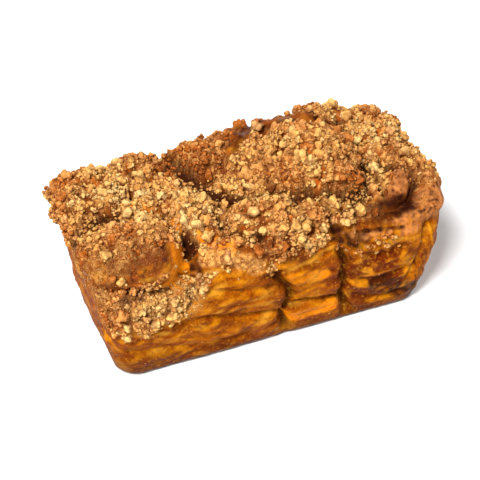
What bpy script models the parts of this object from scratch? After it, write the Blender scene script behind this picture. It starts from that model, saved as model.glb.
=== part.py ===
"""Apple crumble babka: a filled, twisted loaf baked in a tapered tin, its crumble fused to the crust."""
import math

import bmesh
import bpy
import numpy as np
from mathutils import Matrix, Vector, noise

# Loaf tin, in metres
BOTTOM_LENGTH = 0.210
BOTTOM_WIDTH = 0.089
RIM_HEIGHT = 0.077
END_TAPER = 0.115
SIDE_TAPER = 0.085
WALL_BULGE = 0.0024
CORNER_RADIUS = 0.015
BOTTOM_EDGE_RADIUS = 0.005

# Risen dough above the tin
OVERHANG = 0.0040
OVERHANG_RUN = 0.016
END_OVERHANG = 0.0026
CORNER_SWELL = 0.0052
CORNER_SWELL_RUN = (0.026, -0.030)
SHOULDER_RADIUS = 0.009
DOUGH_TOP = 0.088
DOUGH_TILT = 0.10
FRONT_SLUMP = 0.016
FRONT_SLUMP_RUN = (-0.022, -0.048)
CREASE_BLEND = 0.007

# Mounds of the risen dough: centre x, y, z, then half sizes along x, y, z
MOUNDS = {
    "back_left": ((-0.100, 0.026, 0.073), (0.036, 0.034, 0.032)),
    "left_back": ((-0.063, 0.037, 0.076), (0.022, 0.020, 0.028)),
    "plateau": ((-0.050, 0.002, 0.072), (0.029, 0.026, 0.023)),
    "brown_back": ((-0.024, 0.038, 0.074), (0.027, 0.022, 0.033)),
    "front_middle": ((-0.001, -0.030, 0.066), (0.038, 0.024, 0.033)),
    "dome": ((0.043, 0.008, 0.074), (0.043, 0.043, 0.041)),
    "dome_back": ((0.048, 0.036, 0.072), (0.060, 0.025, 0.042)),
    "dome_left": ((0.008, 0.038, 0.074), (0.026, 0.022, 0.034)),
    "front_right": ((0.036, -0.032, 0.062), (0.026, 0.020, 0.032)),
    "right_ridge": ((0.100, 0.022, 0.071), (0.022, 0.038, 0.030)),
    "back_right_peak": ((0.104, 0.043, 0.073), (0.010, 0.010, 0.026)),
}

# Strands with round ends: points x, y, z of the middle line, then the radius
STRANDS = {
    "knob": (((-0.103, -0.021, 0.075), (-0.081, -0.025, 0.077)), 0.0235),
    "ledge": (((-0.066, -0.038, 0.047), (-0.036, -0.040, 0.050), (-0.004, -0.038, 0.051)), 0.0135),
    "front_lip": (((-0.046, -0.035, 0.071), (-0.033, -0.039, 0.073), (-0.024, -0.044, 0.068),
                   (-0.013, -0.047, 0.060)), 0.0080),
    "corner": (((0.108, 0.016, 0.077), (0.1135, -0.020, 0.081), (0.1085, -0.040, 0.077),
                (0.090, -0.045, 0.067), (0.068, -0.045, 0.063), (0.046, -0.042, 0.067)), 0.0100),
    "corner_roll": (((0.097, -0.019, 0.080), (0.090, -0.028, 0.074)), 0.0115),
}

# Creases between the strands seen from above: points (x, y), half width, depth
TOP_CREASES = {
    "behind_knob": (((-0.126, -0.006), (-0.114, 0.000), (-0.102, 0.003), (-0.088, 0.004)), 0.0040, 0.010),
    "beside_knob": (((-0.062, 0.002), (-0.055, -0.012), (-0.052, -0.028), (-0.058, -0.044)), 0.0040, 0.009),
    "brown_mound": (((-0.044, 0.040), (-0.036, 0.028), (-0.024, 0.012), (-0.014, 0.002)), 0.0066, 0.006),
    "dome_front": (((-0.014, 0.002), (0.002, -0.007), (0.017, -0.017), (0.032, -0.024), (0.046, -0.029),
                    (0.058, -0.029), (0.070, -0.024), (0.078, -0.014), (0.080, 0.000)), 0.0044, 0.0068),
    "front_mound_left": (((-0.020, 0.004), (-0.027, -0.012), (-0.026, -0.028)), 0.0036, 0.006),
    "behind_lip": (((-0.050, -0.024), (-0.040, -0.029), (-0.030, -0.031), (-0.020, -0.038),
                    (-0.010, -0.045)), 0.0030, 0.007),
    "front_mound_right": (((0.032, -0.026), (0.037, -0.040), (0.042, -0.050)), 0.0036, 0.007),
    "dome_side": (((0.064, 0.048), (0.072, 0.034), (0.079, 0.018), (0.080, 0.000)), 0.0044, 0.0062),
    "dome_layers": (((0.000, 0.038), (0.018, 0.046), (0.036, 0.049), (0.054, 0.046)), 0.0030, 0.004),
    "spiral": (((0.090, -0.006), (0.102, -0.011), (0.107, -0.021), (0.104, -0.031), (0.097, -0.038),
                (0.088, -0.040), (0.078, -0.038), (0.064, -0.038), (0.050, -0.038)), 0.0034, 0.0078),
    "roll_side": (((0.084, -0.014), (0.081, -0.024), (0.083, -0.036)), 0.0038, 0.0045),
}

# Clefts and folds of the walls: points (x, z) on the long walls and (y, z) on the ends, half width, depth
FRONT_CREASES = {
    "knob_pit": (((-0.060, 0.076), (-0.056, 0.066), (-0.058, 0.057)), 0.0050, 0.0060),
    "middle_cleft": (((-0.002, 0.058), (0.008, 0.044), (0.010, 0.034), (0.004, 0.024), (0.006, 0.012),
                      (0.008, 0.000)), 0.0034, 0.0075),
    "right_cleft": (((0.042, 0.066), (0.047, 0.052), (0.045, 0.044), (0.048, 0.036), (0.045, 0.026),
                     (0.051, 0.008)), 0.0032, 0.0070),
    "sausage_top": (((0.008, 0.029), (0.020, 0.029), (0.034, 0.026), (0.046, 0.024)), 0.0030, 0.0045),
    "under_knob": (((-0.118, 0.080), (-0.108, 0.077), (-0.096, 0.075), (-0.084, 0.071), (-0.072, 0.066)),
                   0.0036, 0.0050),
    "upper_fold": (((-0.046, 0.060), (-0.028, 0.054), (-0.010, 0.051), (0.002, 0.054)), 0.0028, 0.0030),
    "lower_fold": (((-0.068, 0.040), (-0.050, 0.040), (-0.026, 0.031), (0.003, 0.026)), 0.0030, 0.0036),
    "low_left_fold": (((-0.100, 0.026), (-0.076, 0.022), (-0.050, 0.014), (-0.020, 0.012)), 0.0030, 0.0022),
    "right_low_fold": (((0.050, 0.026), (0.060, 0.016), (0.074, 0.012), (0.086, 0.014)), 0.0030, 0.0034),
    "right_middle_fold": (((0.048, 0.044), (0.058, 0.034), (0.072, 0.030), (0.090, 0.036)), 0.0030, 0.0030),
    "right_high_fold": (((0.056, 0.060), (0.070, 0.053), (0.086, 0.056)), 0.0030, 0.0026),
    "corner_fold": (((0.104, 0.068), (0.102, 0.054), (0.099, 0.040), (0.095, 0.028)), 0.0030, 0.0036),
}
BACK_CREASES = {
    "left_cleft": (((-0.052, 0.072), (-0.044, 0.056), (-0.046, 0.040), (-0.038, 0.022), (-0.040, 0.006)),
                   0.0032, 0.0060),
    "right_cleft": (((0.024, 0.074), (0.034, 0.060), (0.030, 0.044), (0.036, 0.026)), 0.0032, 0.0055),
    "left_fold": (((-0.104, 0.052), (-0.086, 0.046), (-0.066, 0.048), (-0.046, 0.040)), 0.0030, 0.0034),
    "middle_fold": (((-0.040, 0.034), (-0.018, 0.040), (0.008, 0.036), (0.032, 0.042)), 0.0030, 0.0034),
    "low_fold": (((-0.036, 0.018), (-0.008, 0.014), (0.018, 0.020), (0.040, 0.016)), 0.0030, 0.0026),
    "right_fold": (((0.036, 0.054), (0.058, 0.046), (0.082, 0.050), (0.102, 0.040)), 0.0030, 0.0034),
    "right_low_fold": (((0.040, 0.030), (0.064, 0.022), (0.092, 0.026)), 0.0030, 0.0026),
}
LEFT_CREASES = {
    "high_fold": (((-0.042, 0.060), (-0.014, 0.054), (0.014, 0.060), (0.040, 0.056)), 0.0030, 0.0030),
    "middle_fold": (((-0.040, 0.034), (-0.012, 0.040), (0.016, 0.034), (0.038, 0.038)), 0.0030, 0.0028),
    "low_fold": (((-0.034, 0.018), (-0.006, 0.014), (0.030, 0.018)), 0.0030, 0.0022),
}
RIGHT_CREASES = {
    "high_fold": (((-0.040, 0.056), (-0.016, 0.064), (0.010, 0.060), (0.034, 0.066)), 0.0030, 0.0032),
    "bow": (((-0.034, 0.020), (-0.022, 0.036), (0.000, 0.043), (0.024, 0.036), (0.036, 0.020)),
            0.0030, 0.0030),
    "inner_bow": (((-0.016, 0.014), (-0.004, 0.024), (0.012, 0.022)), 0.0030, 0.0024),
}

# Each wall's creases, the axis across it, the axis along it, its side, and how far out it begins
LONG_WALL = 0.42 * BOTTOM_WIDTH
END_WALL = 0.465 * BOTTOM_LENGTH
WALLS = (
    (FRONT_CREASES, 1, 0, -1, LONG_WALL),
    (BACK_CREASES, 1, 0, 1, LONG_WALL),
    (LEFT_CREASES, 0, 1, -1, END_WALL),
    (RIGHT_CREASES, 0, 1, 1, END_WALL),
)
WALL_RUN = 0.004

# Unevenness of the crust: sizes of the noise along x, y, z, and its depths. Crumbs lie above the crumb line
WAVE_SIZE = (0.030, 0.030, 0.030)
WAVE_DEPTH = 0.0020
CRAG_SIZE = (0.009, 0.009, 0.009)
CRAG_DEPTH = 0.0045
FOLD_SIZE = (0.034, 0.034, 0.008)
FOLD_DEPTH = 0.0010
CRUMB_LINE = 0.072
CRUMB_LINE_RUN = 0.010

# What brings the middle of the finished loaf's box over the origin
CENTRE_SHIFT = (-0.0003, -0.0028, 0.0)

# The box that every surface point is reached from, and the steps of the lattice round it
CORE_LOW = (-0.086, -0.024, 0.026)
CORE_HIGH = (0.086, 0.024, 0.060)
REACH = 0.080
EDGE_INSET = (0.032, 0.030, 0.034)
STEPS = (88, 38, 36)
TRACE_ROUNDS = 90
TRACE_PACE = 0.6

# Crumble lumps fused to the crust: how many, out of how many tries, one of four on the front wall
LUMPS = 180
LUMP_TRIES = 14000
FRONT_EVERY = 4

# Where the crumble reaches down the front, as points (x, z)
LOW_CRUMBS = ((-0.122, 0.044), (-0.096, 0.036), (-0.070, 0.044), (-0.050, 0.056), (-0.036, 0.072))

# Bare spots on top: centre, radius, and how steeply they begin at their edge
BARE_SPOTS = (
    ((-0.074, -0.040, 0.086), 0.022),
    ((0.108, -0.044, 0.075), 0.026),
    ((0.094, -0.026, 0.086), 0.017),
    ((0.076, -0.047, 0.072), 0.013),
    ((-0.026, -0.046, 0.068), 0.013),
)
BARE_EDGE = 2.0

# The lumps' radius from the first to the last, the least distance between them, and the crease none lies in
LUMP_RADIUS = (0.0050, 0.0028)
LUMP_GAP = 0.0070
LUMP_CREASE = 0.0030
LUMP_LIFT = 0.20
LUMP_STRETCH = (0.80, 1.20)
LUMP_JITTER = 0.18
LUMP_SEED = 41

# Triangles of the finished loaf, and how near the underside a point is laid flat on it
TRIANGLES = 11900
SURFACE_SNAP = 0.00008

# Colours and roughness
CRUST_COLOUR = (0.55, 0.22, 0.03, 1.0)
CRUST_ROUGHNESS = 0.5
CRUMBLE_COLOUR = (0.62, 0.33, 0.10, 1.0)
CRUMBLE_ROUGHNESS = 0.85


def smooth_step(value):
    """0 below 0, 1 above 1 and an even rise between."""
    t = np.clip(value, 0.0, 1.0)
    return t * t * (3.0 - 2.0 * t)


def run_share(value, run):
    """0 at the run's start, 1 at its end and an even rise between."""
    return smooth_step((value - run[0]) / (run[1] - run[0]))


def blend_min(a, b, width):
    """The smaller distance, rounded where both are alike."""
    h = np.clip(0.5 + 0.5 * (b - a) / width, 0.0, 1.0)
    return b + (a - b) * h - width * h * (1.0 - h)


def round_overlap(a, b, radius):
    """The distance to what two shapes share, with a rounded edge between them."""
    corner = np.hypot(np.maximum(a + radius, 0.0), np.maximum(b + radius, 0.0))
    return np.minimum(np.maximum(a, b), -radius) + corner


def wall_distance(p):
    """Distance past the tin's wall, which the dough overhangs a little above the rim."""
    height = np.clip(p[:, 2], 0.0, RIM_HEIGHT)
    share = height / RIM_HEIGHT
    rise = smooth_step((p[:, 2] - RIM_HEIGHT + OVERHANG_RUN / 2) / OVERHANG_RUN)
    grow = 4 * WALL_BULGE * share * (1 - share) + OVERHANG * rise - CORNER_RADIUS
    swell = CORNER_SWELL * share * run_share(p[:, 1], CORNER_SWELL_RUN) * (p[:, 0] > 0)
    across_x = np.abs(p[:, 0]) - BOTTOM_LENGTH / 2 - END_TAPER * height - END_OVERHANG * rise - swell - grow
    across_y = np.abs(p[:, 1]) - BOTTOM_WIDTH / 2 - SIDE_TAPER * height - grow
    outside = np.hypot(np.maximum(across_x, 0.0), np.maximum(across_y, 0.0))
    return outside + np.minimum(np.maximum(across_x, across_y), 0.0) - CORNER_RADIUS


def mound_distance(p, centre, half_sizes):
    """Distance to an ellipsoid, close enough to walk by."""
    q = (p - centre) / half_sizes
    length = np.linalg.norm(q, axis=1)
    slope = np.linalg.norm(q / half_sizes, axis=1)
    return length * (length - 1.0) / np.maximum(slope, 1e-9)


def path_distance(p, path):
    """Distance from each point to a path of straight runs, in a plane or in space."""
    nearest = np.full(len(p), np.inf)
    for start, end in zip(path, path[1:]):
        a = np.array(start)
        run = np.array(end) - a
        along = np.clip((p - a) @ run / (run @ run), 0.0, 1.0)
        nearest = np.minimum(nearest, np.linalg.norm(p - a - along[:, None] * run, axis=1))
    return nearest


def loaf_distance(p):
    """Distance to the loaf without its creases: strands that rose together in the tin."""
    dough = p[:, 2] - DOUGH_TOP - DOUGH_TILT * p[:, 1] + FRONT_SLUMP * run_share(p[:, 1], FRONT_SLUMP_RUN)
    for centre, half_sizes in MOUNDS.values():
        dough = blend_min(dough, mound_distance(p, np.array(centre), np.array(half_sizes)), CREASE_BLEND)
    for path, radius in STRANDS.values():
        dough = blend_min(dough, path_distance(p, path) - radius, CREASE_BLEND)
    dough = round_overlap(dough, wall_distance(p), SHOULDER_RADIUS)
    return round_overlap(dough, -p[:, 2], BOTTOM_EDGE_RADIUS)


def bareness(p):
    """1 in the middle of the bare spots, and 0 outside them."""
    share = np.zeros(len(p))
    for centre, radius in BARE_SPOTS:
        inside = 1.0 - np.linalg.norm(p - centre, axis=1) / radius
        share = np.maximum(share, smooth_step(BARE_EDGE * inside))
    return share


def crease_depth(p, creases):
    """How deep the creases are sunk, deepest along their middle lines."""
    depth = np.zeros(len(p))
    for path, half_width, deepest in creases.values():
        depth = np.maximum(depth, deepest * np.exp(-((path_distance(p, path) / half_width) ** 2)))
    return depth


def waves(p, size):
    """Smooth noise of that size, from -1 to 1 and the same each run."""
    return np.array([noise.noise(Vector(q)) for q in p / size])


def trace(outer):
    """Walks from each outer point towards the core until it meets the loaf, then sinks the creases.

    Gives the places met and the direction outwards at each."""
    start = np.clip(outer, CORE_LOW, CORE_HIGH)
    reach = np.linalg.norm(outer - start, axis=1)
    heading = (outer - start) / reach[:, None]
    for _ in range(TRACE_ROUNDS):
        reach = np.maximum(reach - TRACE_PACE * loaf_distance(start + heading * reach[:, None]), 0.0)
    p = start + heading * reach[:, None]
    upward = smooth_step((p[:, 2] - CRUMB_LINE) / CRUMB_LINE_RUN)
    raised = smooth_step(p[:, 2] / CRUMB_LINE_RUN)
    sink = upward * crease_depth(p[:, :2], TOP_CREASES)
    for creases, across, along, side, begin in WALLS:
        on_wall = smooth_step((side * p[:, across] - begin) / WALL_RUN) * (1.0 - upward) * raised
        sink += on_wall * crease_depth(p[:, [along, 2]], creases)
    crags = CRAG_DEPTH * (1.0 - bareness(p)) * waves(p, CRAG_SIZE)
    swell = upward * (WAVE_DEPTH * waves(p, WAVE_SIZE) + crags)
    swell += (1.0 - upward) * raised * FOLD_DEPTH * waves(p, FOLD_SIZE)
    p = p + heading * (swell - sink)[:, None]
    p[np.abs(p[:, 2]) < SURFACE_SNAP, 2] = 0.0
    return p + CENTRE_SHIFT, heading


def outer_point(lattice):
    """A place on the box round the loaf for lattice fractions from 0 to 1, spread evenly over the crust."""
    placed = np.empty_like(lattice)
    for axis in range(3):
        low, high, inset = CORE_LOW[axis], CORE_HIGH[axis], EDGE_INSET[axis]
        share = inset / (high - low + 2 * inset)
        stops = (low - REACH, low, high, high + REACH)
        placed[:, axis] = np.interp(lattice[:, axis], (0.0, share, 1.0 - share, 1.0), stops)
    return placed


def box_lattice(steps):
    """Lattice points of a box's surface, and its quads with their faces out."""
    index = {}
    quads = []
    for axis in range(3):
        u, v = (axis + 1) % 3, (axis + 2) % 3
        for side in (0, steps[axis]):
            for a in range(steps[u]):
                for b in range(steps[v]):
                    quad = []
                    for da, db in ((0, 0), (1, 0), (1, 1), (0, 1)):
                        place = [side, side, side]
                        place[u] = a + da
                        place[v] = b + db
                        quad.append(index.setdefault(tuple(place), len(index)))
                    quads.append(quad if side else quad[::-1])
    return np.array(list(index), float) / steps, quads


def make_crust(material):
    lattice, quads = box_lattice(STEPS)
    mesh = bpy.data.meshes.new("babka")
    mesh.from_pydata(trace(outer_point(lattice))[0].tolist(), [], quads)
    mesh.materials.append(material)
    loaf = bpy.data.objects.new("babka", mesh)
    bpy.context.scene.collection.objects.link(loaf)
    return loaf


def crumble_lies(places):
    """Where the crumble covers the crust: the top but for bare spots, and low on the left of the front."""
    p = places - CENTRE_SHIFT
    line = CRUMB_LINE + CRUMB_LINE_RUN / 2
    low = np.interp(p[:, 0], *zip(*LOW_CRUMBS))
    covered = p[:, 2] > np.where(p[:, 1] < 0, np.minimum(low, line), line)
    covered &= crease_depth(p[:, :2], TOP_CREASES) < LUMP_CREASE
    return covered & (bareness(p) == 0.0)


def crumb_places():
    """Evenly spread places for the crumble lumps, largest first: place and radius of each."""
    rng = np.random.default_rng(LUMP_SEED)
    tries = rng.random((LUMP_TRIES, 3))
    on_front = np.arange(LUMP_TRIES) % FRONT_EVERY == 0
    tries[on_front, 1] = 0.0
    tries[~on_front, 2] = 1.0
    places, heading = trace(outer_point(tries))
    kept = []
    for i in np.flatnonzero(crumble_lies(places)):
        if len(kept) == LUMPS:
            break
        if not kept or np.linalg.norm(places[kept] - places[i], axis=1).min() > LUMP_GAP:
            kept.append(i)
    radii = np.linspace(*LUMP_RADIUS, len(kept))
    return places[kept] + heading[kept] * (LUMP_LIFT * radii)[:, None], radii


def make_lumps(material):
    """One rough, stretched lump at each place, in a collection of its own."""
    rng = np.random.default_rng(LUMP_SEED + 1)
    lumps = bpy.data.collections.new("lumps")
    bpy.context.scene.collection.children.link(lumps)
    for place, radius in zip(*crumb_places()):
        work = bmesh.new()
        bmesh.ops.create_icosphere(work, subdivisions=1, radius=radius)
        for vert in work.verts:
            vert.co *= 1.0 + LUMP_JITTER * rng.uniform(-1.0, 1.0)
        turn = Matrix.Rotation(rng.uniform(0.0, math.tau), 4, Vector(rng.normal(size=3)))
        stretch = Matrix.Diagonal((*rng.uniform(*LUMP_STRETCH, 3), 1.0))
        bmesh.ops.transform(work, matrix=Matrix.Translation(place) @ turn @ stretch, verts=work.verts)
        mesh = bpy.data.meshes.new("lump")
        work.to_mesh(mesh)
        work.free()
        mesh.materials.append(material)
        lumps.objects.link(bpy.data.objects.new("lump", mesh))
    return lumps


def keep_outer_shell(mesh):
    """Drops what fusing left apart from the loaf: sealed hollows and loose scraps."""
    work = bmesh.new()
    work.from_mesh(mesh)
    waiting = set(work.verts)
    shells = []
    while waiting:
        shell = set()
        edge_of_shell = [next(iter(waiting))]
        while edge_of_shell:
            vert = edge_of_shell.pop()
            if vert in waiting:
                waiting.discard(vert)
                shell.add(vert)
                edge_of_shell.extend(edge.other_vert(vert) for edge in vert.link_edges)
        shells.append(shell)
    shells.sort(key=len)
    for shell in shells[:-1]:
        bmesh.ops.delete(work, geom=list(shell), context="VERTS")
    bmesh.ops.triangulate(work, faces=work.faces)
    work.to_mesh(mesh)
    work.free()


def apply_modifier(thing, modifier):
    with bpy.context.temp_override(object=thing):
        bpy.ops.object.modifier_apply(modifier=modifier.name)


def fuse(loaf, lumps):
    """Joins the lumps and the loaf into one solid, then removes the lumps."""
    union = loaf.modifiers.new("crumble", "BOOLEAN")
    union.operation = "UNION"
    union.solver = "EXACT"
    union.operand_type = "COLLECTION"
    union.collection = lumps
    apply_modifier(loaf, union)
    for lump in list(lumps.objects):
        bpy.data.objects.remove(lump, do_unlink=True)
    bpy.data.collections.remove(lumps)
    keep_outer_shell(loaf.data)


def thin_out(loaf):
    """Leaves the triangles where the shape bends, and the underside exactly flat."""
    thinner = loaf.modifiers.new("thinner", "DECIMATE")
    thinner.ratio = TRIANGLES / len(loaf.data.polygons)
    apply_modifier(loaf, thinner)
    for vert in loaf.data.vertices:
        if abs(vert.co.z) < SURFACE_SNAP:
            vert.co.z = 0.0


def make_material(name, colour, roughness):
    material = bpy.data.materials.new(name)
    material.use_nodes = True
    shader = material.node_tree.nodes["Principled BSDF"]
    shader.inputs["Base Color"].default_value = colour
    shader.inputs["Roughness"].default_value = roughness
    shader.inputs["Metallic"].default_value = 0.0
    return material


def main():
    for old in list(bpy.data.objects):
        bpy.data.objects.remove(old, do_unlink=True)
    crust = make_material("crust", CRUST_COLOUR, CRUST_ROUGHNESS)
    crumble = make_material("crumble", CRUMBLE_COLOUR, CRUMBLE_ROUGHNESS)
    loaf = make_crust(crust)
    fuse(loaf, make_lumps(crumble))
    thin_out(loaf)
    loaf.data.shade_flat()


main()
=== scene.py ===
import math

import bmesh
import bpy
import numpy as np
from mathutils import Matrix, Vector, noise


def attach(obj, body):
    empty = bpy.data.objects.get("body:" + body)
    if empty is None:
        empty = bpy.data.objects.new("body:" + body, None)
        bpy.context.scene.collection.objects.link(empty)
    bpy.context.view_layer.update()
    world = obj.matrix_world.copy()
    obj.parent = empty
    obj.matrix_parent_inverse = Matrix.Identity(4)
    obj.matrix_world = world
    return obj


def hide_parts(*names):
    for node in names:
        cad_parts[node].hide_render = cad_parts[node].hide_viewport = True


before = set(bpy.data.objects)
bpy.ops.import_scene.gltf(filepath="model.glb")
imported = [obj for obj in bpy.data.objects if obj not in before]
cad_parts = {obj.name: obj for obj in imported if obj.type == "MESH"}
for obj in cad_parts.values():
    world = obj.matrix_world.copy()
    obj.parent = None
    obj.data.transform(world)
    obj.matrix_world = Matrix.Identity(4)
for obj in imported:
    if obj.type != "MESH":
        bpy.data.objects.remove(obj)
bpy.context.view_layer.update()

# Loaf tin, in metres
BOTTOM_LENGTH = 0.210
BOTTOM_WIDTH = 0.089
RIM_HEIGHT = 0.077
END_TAPER = 0.115
SIDE_TAPER = 0.085
WALL_BULGE = 0.0024
CORNER_RADIUS = 0.015
BOTTOM_EDGE_RADIUS = 0.005

# Risen dough above the tin
OVERHANG = 0.004
OVERHANG_RUN = 0.016
END_OVERHANG = 0.0026
CORNER_SWELL = 0.0052
CORNER_SWELL_RUN = (0.026, -0.030)
SHOULDER_RADIUS = 0.009
DOUGH_TOP = 0.088
DOUGH_TILT = 0.10
FRONT_SLUMP = 0.016
FRONT_SLUMP_RUN = (-0.022, -0.048)
CREASE_BLEND = 0.007

# Mounds of the risen dough: centre x, y, z, then half sizes along x, y, z
MOUNDS = {
    "back_left": ((-0.100, 0.026, 0.073), (0.036, 0.034, 0.032)),
    "left_back": ((-0.063, 0.037, 0.076), (0.022, 0.020, 0.028)),
    "plateau": ((-0.050, 0.002, 0.072), (0.029, 0.026, 0.023)),
    "brown_back": ((-0.024, 0.038, 0.074), (0.027, 0.022, 0.033)),
    "front_middle": ((-0.001, -0.030, 0.066), (0.038, 0.024, 0.033)),
    "dome": ((0.043, 0.008, 0.074), (0.043, 0.043, 0.041)),
    "dome_back": ((0.048, 0.036, 0.072), (0.060, 0.025, 0.042)),
    "dome_left": ((0.008, 0.038, 0.074), (0.026, 0.022, 0.034)),
    "front_right": ((0.036, -0.032, 0.062), (0.026, 0.020, 0.032)),
    "right_ridge": ((0.100, 0.022, 0.071), (0.022, 0.038, 0.030)),
    "back_right_peak": ((0.104, 0.043, 0.073), (0.010, 0.010, 0.026)),
}

# Strands with round ends: points x, y, z of the middle line, then the radius
STRANDS = {
    "knob": (((-0.103, -0.021, 0.075), (-0.081, -0.025, 0.077)), 0.0235),
    "ledge": (((-0.066, -0.038, 0.047), (-0.036, -0.040, 0.050), (-0.004, -0.038, 0.051)), 0.0135),
    "front_lip": (((-0.046, -0.035, 0.071), (-0.033, -0.039, 0.073), (-0.024, -0.044, 0.068),
                   (-0.013, -0.047, 0.060)), 0.008),
    "corner": (((0.108, 0.016, 0.077), (0.1135, -0.020, 0.081), (0.1085, -0.040, 0.077),
                (0.090, -0.045, 0.067), (0.068, -0.045, 0.063), (0.046, -0.042, 0.067)), 0.010),
    "corner_roll": (((0.097, -0.019, 0.080), (0.090, -0.028, 0.074)), 0.0115),
}

# Creases between the strands seen from above: points (x, y), half width, depth
TOP_CREASES = {
    "behind_knob": (((-0.126, -0.006), (-0.114, 0.000), (-0.102, 0.003), (-0.088, 0.004)), 0.004, 0.010),
    "beside_knob": (((-0.062, 0.002), (-0.055, -0.012), (-0.052, -0.028), (-0.058, -0.044)), 0.004, 0.009),
    "brown_mound": (((-0.044, 0.040), (-0.036, 0.028), (-0.024, 0.012), (-0.014, 0.002)), 0.0066, 0.006),
    "dome_front": (((-0.014, 0.002), (0.002, -0.007), (0.017, -0.017), (0.032, -0.024), (0.046, -0.029),
                    (0.058, -0.029), (0.070, -0.024), (0.078, -0.014), (0.080, 0.000)), 0.0044, 0.0068),
    "front_mound_left": (((-0.020, 0.004), (-0.027, -0.012), (-0.026, -0.028)), 0.0036, 0.006),
    "behind_lip": (((-0.050, -0.024), (-0.040, -0.029), (-0.030, -0.031), (-0.020, -0.038),
                    (-0.010, -0.045)), 0.003, 0.007),
    "front_mound_right": (((0.032, -0.026), (0.037, -0.040), (0.042, -0.050)), 0.0036, 0.007),
    "dome_side": (((0.064, 0.048), (0.072, 0.034), (0.079, 0.018), (0.080, 0.000)), 0.0044, 0.0062),
    "dome_layers": (((0.000, 0.038), (0.018, 0.046), (0.036, 0.049), (0.054, 0.046)), 0.003, 0.004),
    "spiral": (((0.090, -0.006), (0.102, -0.011), (0.107, -0.021), (0.104, -0.031), (0.097, -0.038),
                (0.088, -0.040), (0.078, -0.038), (0.064, -0.038), (0.050, -0.038)), 0.0034, 0.0078),
    "roll_side": (((0.084, -0.014), (0.081, -0.024), (0.083, -0.036)), 0.0038, 0.0045),
}

# Clefts and folds of the walls: points (x, z) on the long walls and (y, z) on the ends, half width, depth
FRONT_CREASES = {
    "knob_pit": (((-0.060, 0.076), (-0.056, 0.066), (-0.058, 0.057)), 0.005, 0.006),
    "middle_cleft": (((-0.002, 0.058), (0.008, 0.044), (0.010, 0.034), (0.004, 0.024), (0.006, 0.012),
                      (0.008, 0.000)), 0.0034, 0.0075),
    "right_cleft": (((0.042, 0.066), (0.047, 0.052), (0.045, 0.044), (0.048, 0.036), (0.045, 0.026),
                     (0.051, 0.008)), 0.0032, 0.007),
    "sausage_top": (((0.008, 0.029), (0.020, 0.029), (0.034, 0.026), (0.046, 0.024)), 0.003, 0.0045),
    "under_knob": (((-0.118, 0.080), (-0.108, 0.077), (-0.096, 0.075), (-0.084, 0.071), (-0.072, 0.066)),
                   0.0036, 0.005),
    "upper_fold": (((-0.046, 0.060), (-0.028, 0.054), (-0.010, 0.051), (0.002, 0.054)), 0.0028, 0.003),
    "lower_fold": (((-0.068, 0.040), (-0.050, 0.040), (-0.026, 0.031), (0.003, 0.026)), 0.003, 0.0036),
    "low_left_fold": (((-0.100, 0.026), (-0.076, 0.022), (-0.050, 0.014), (-0.020, 0.012)), 0.003, 0.0022),
    "right_low_fold": (((0.050, 0.026), (0.060, 0.016), (0.074, 0.012), (0.086, 0.014)), 0.003, 0.0034),
    "right_middle_fold": (((0.048, 0.044), (0.058, 0.034), (0.072, 0.030), (0.090, 0.036)), 0.003, 0.003),
    "right_high_fold": (((0.056, 0.060), (0.070, 0.053), (0.086, 0.056)), 0.003, 0.0026),
    "corner_fold": (((0.104, 0.068), (0.102, 0.054), (0.099, 0.040), (0.095, 0.028)), 0.003, 0.0036),
}
BACK_CREASES = {
    "left_cleft": (((-0.052, 0.072), (-0.044, 0.056), (-0.046, 0.040), (-0.038, 0.022), (-0.040, 0.006)),
                   0.0032, 0.006),
    "right_cleft": (((0.024, 0.074), (0.034, 0.060), (0.030, 0.044), (0.036, 0.026)), 0.0032, 0.0055),
    "left_fold": (((-0.104, 0.052), (-0.086, 0.046), (-0.066, 0.048), (-0.046, 0.040)), 0.003, 0.0034),
    "middle_fold": (((-0.040, 0.034), (-0.018, 0.040), (0.008, 0.036), (0.032, 0.042)), 0.003, 0.0034),
    "low_fold": (((-0.036, 0.018), (-0.008, 0.014), (0.018, 0.020), (0.040, 0.016)), 0.003, 0.0026),
    "right_fold": (((0.036, 0.054), (0.058, 0.046), (0.082, 0.050), (0.102, 0.040)), 0.003, 0.0034),
    "right_low_fold": (((0.040, 0.030), (0.064, 0.022), (0.092, 0.026)), 0.003, 0.0026),
}
LEFT_CREASES = {
    "high_fold": (((-0.042, 0.060), (-0.014, 0.054), (0.014, 0.060), (0.040, 0.056)), 0.003, 0.003),
    "middle_fold": (((-0.040, 0.034), (-0.012, 0.040), (0.016, 0.034), (0.038, 0.038)), 0.003, 0.0028),
    "low_fold": (((-0.034, 0.018), (-0.006, 0.014), (0.030, 0.018)), 0.003, 0.0022),
}
RIGHT_CREASES = {
    "high_fold": (((-0.040, 0.056), (-0.016, 0.064), (0.010, 0.060), (0.034, 0.066)), 0.003, 0.0032),
    "bow": (((-0.034, 0.020), (-0.022, 0.036), (0.000, 0.043), (0.024, 0.036), (0.036, 0.020)),
            0.003, 0.003),
    "inner_bow": (((-0.016, 0.014), (-0.004, 0.024), (0.012, 0.022)), 0.003, 0.0024),
}

# Each wall's creases, the axis across it, the axis along it, its side, and how far out it begins
LONG_WALL = 0.42 * BOTTOM_WIDTH
END_WALL = 0.465 * BOTTOM_LENGTH
WALLS = (
    (FRONT_CREASES, 1, 0, -1, LONG_WALL),
    (BACK_CREASES, 1, 0, 1, LONG_WALL),
    (LEFT_CREASES, 0, 1, -1, END_WALL),
    (RIGHT_CREASES, 0, 1, 1, END_WALL),
)
WALL_RUN = 0.004

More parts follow.
